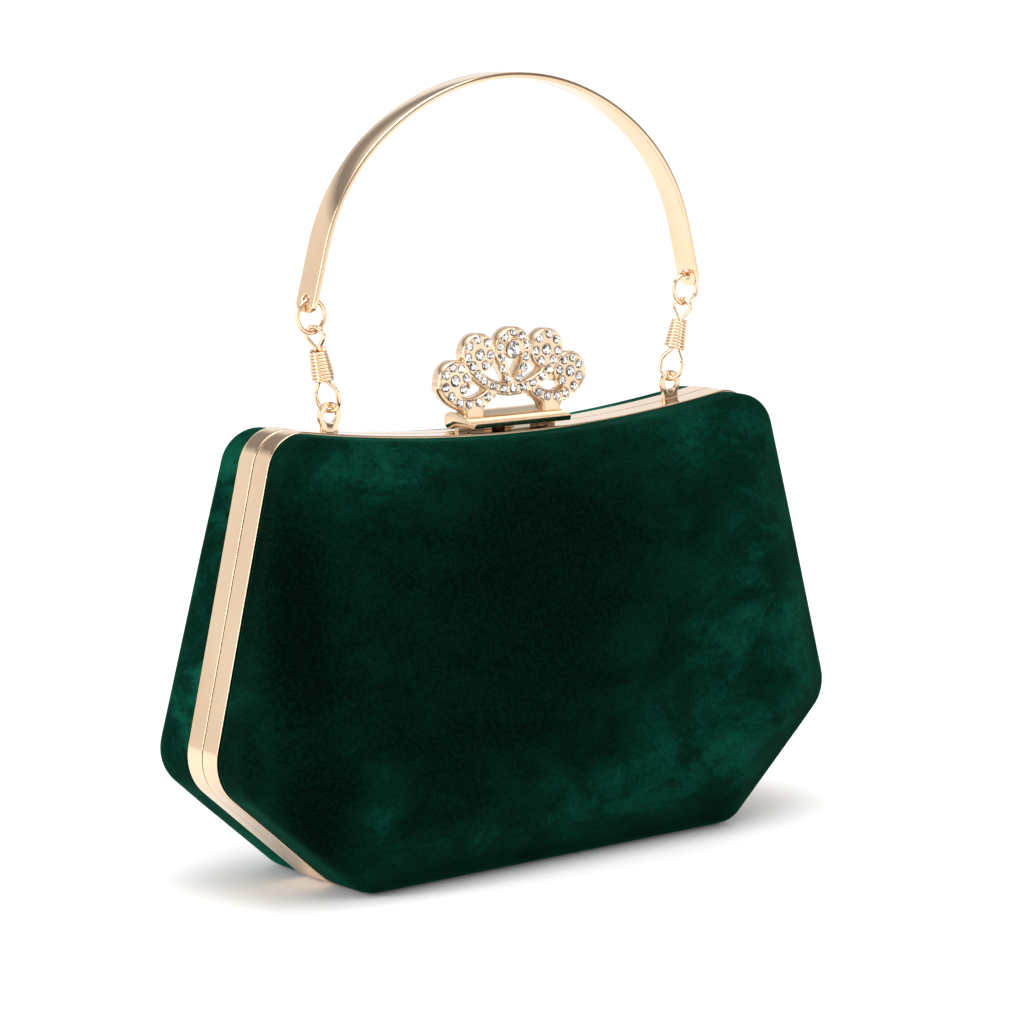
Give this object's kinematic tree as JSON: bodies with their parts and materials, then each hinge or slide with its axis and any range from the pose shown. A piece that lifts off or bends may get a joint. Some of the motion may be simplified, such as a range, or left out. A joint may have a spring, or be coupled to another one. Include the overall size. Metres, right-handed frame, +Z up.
{
  "type": "evening bag",
  "caption": "Hard-shell velvet evening bag with a hinged gold frame, a press clasp under a stone-set crown, and a flat metal handle on snap hooks.",
  "frame": {"origin": "middle of the base, in the plane where the two halves of the case meet", "axes": "+X across the bag to the viewer's right when looking at its front, +Y from the front to the rear, +Z up"},
  "size_m": [0.207, 0.066, 0.2162],
  "materials": {
    "velvet": "deep emerald cotton velvet, short dense pile with brushed marks",
    "lining": "dark green satin lining",
    "shell_board": "moulded hard shell, hidden by the velvet",
    "polished_gold": "bright polished pale rose-gold plating",
    "cast_gold": "die-cast alloy with satin-bright pale gold plating",
    "rhinestone": "clear faceted glass with a mirror foil behind",
    "spring_steel": "plated steel"
  },
  "bodies": {
    "rear_half": {"rear_frame": "polished_gold", "rear_shell": "shell_board", "rear_cover": "velvet", "rear_lining": "lining", "slip_pocket": "lining", "rear_hinge_leaf": "spring_steel", "rear_hinge_rivets": "spring_steel", "case_hinge_pin": "spring_steel", "left_tab": "polished_gold", "right_tab": "polished_gold", "tab_rivets": "spring_steel", "clasp_base": "polished_gold", "clasp_pin": "spring_steel", "clasp_spring": "spring_steel"},
    "front_half": {"front_frame": "polished_gold", "front_shell": "shell_board", "front_cover": "velvet", "front_lining": "lining", "front_hinge_leaf": "spring_steel", "front_hinge_rivets": "spring_steel", "catch_block": "polished_gold"},
    "clasp_flap": {"clasp_flap": "polished_gold", "latch_tongue": "spring_steel", "crown": "cast_gold", "crown_small_stones": "rhinestone", "crown_lobe_stones": "rhinestone", "crown_centre_stone": "rhinestone"},
    "left_hook": {"left_hook": "polished_gold", "left_coil": "polished_gold"},
    "left_gate": {"left_gate": "polished_gold"},
    "left_ring": {"left_ring": "polished_gold"},
    "handle": {"handle_bar": "polished_gold"},
    "right_ring": {"right_ring": "polished_gold"},
    "right_hook": {"right_hook": "polished_gold", "right_coil": "polished_gold"},
    "right_gate": {"right_gate": "polished_gold"}
  },
  "joints": [
    {"name": "front_open", "type": "hinge", "parent": "rear_half", "child": "front_half", "pos_m": [0, 0, 0.0013], "axis": [1, 0, 0], "range_deg": [0, 70]},
    {"name": "clasp_lift", "type": "hinge", "parent": "rear_half", "child": "clasp_flap", "pos_m": [0, 0.0045, 0.1212], "axis": [-1, 0, 0], "range_deg": [0, 35], "stiffness_Nm_per_rad": 0.02, "deforming": ["clasp_spring", "latch_tongue"]},
    {"name": "left_hook_swing", "type": "hinge", "parent": "rear_half", "child": "left_hook", "pos_m": [-0.0609, 0.00085, 0.12928], "axis": [1, 0, 0], "range_deg": [-50, 50]},
    {"name": "left_ring_swing", "type": "hinge", "parent": "left_hook", "child": "left_ring", "pos_m": [-0.06562, 0.00085, 0.14897], "axis": [1, 0, 0], "range_deg": [-40, 40]},
    {"name": "handle_swing", "type": "hinge", "parent": "left_ring", "child": "handle", "pos_m": [-0.06766, 0.00085, 0.1575], "axis": [1, 0, 0], "range_deg": [-60, 60]},
    {"name": "right_hook_swing", "type": "hinge", "parent": "rear_half", "child": "right_hook", "pos_m": [0.0609, 0.00085, 0.12928], "axis": [1, 0, 0], "range_deg": [-50, 50]},
    {"name": "right_ring_swing", "type": "hinge", "parent": "right_hook", "child": "right_ring", "pos_m": [0.06562, 0.00085, 0.14897], "axis": [1, 0, 0], "range_deg": [-40, 40]},
    {"name": "left_gate_flex", "type": "hinge", "parent": "left_hook", "child": "left_gate", "pos_m": [-0.06359, 0.00213, 0.13789], "axis": [-0.8787, -0.4286, -0.2104], "range_deg": [0, 10], "stiffness_Nm_per_rad": 0.002},
    {"name": "right_gate_flex", "type": "hinge", "parent": "right_hook", "child": "right_gate", "pos_m": [0.06359, -0.00043, 0.13789], "axis": [0.8787, 0.4286, -0.2104], "range_deg": [0, 10], "stiffness_Nm_per_rad": 0.002}
  ],
  "couplings": [
    {"joint": "right_hook_swing", "follows": "left_hook_swing", "ratio": 1},
    {"joint": "right_ring_swing", "follows": "left_ring_swing", "ratio": 1}
  ]
}
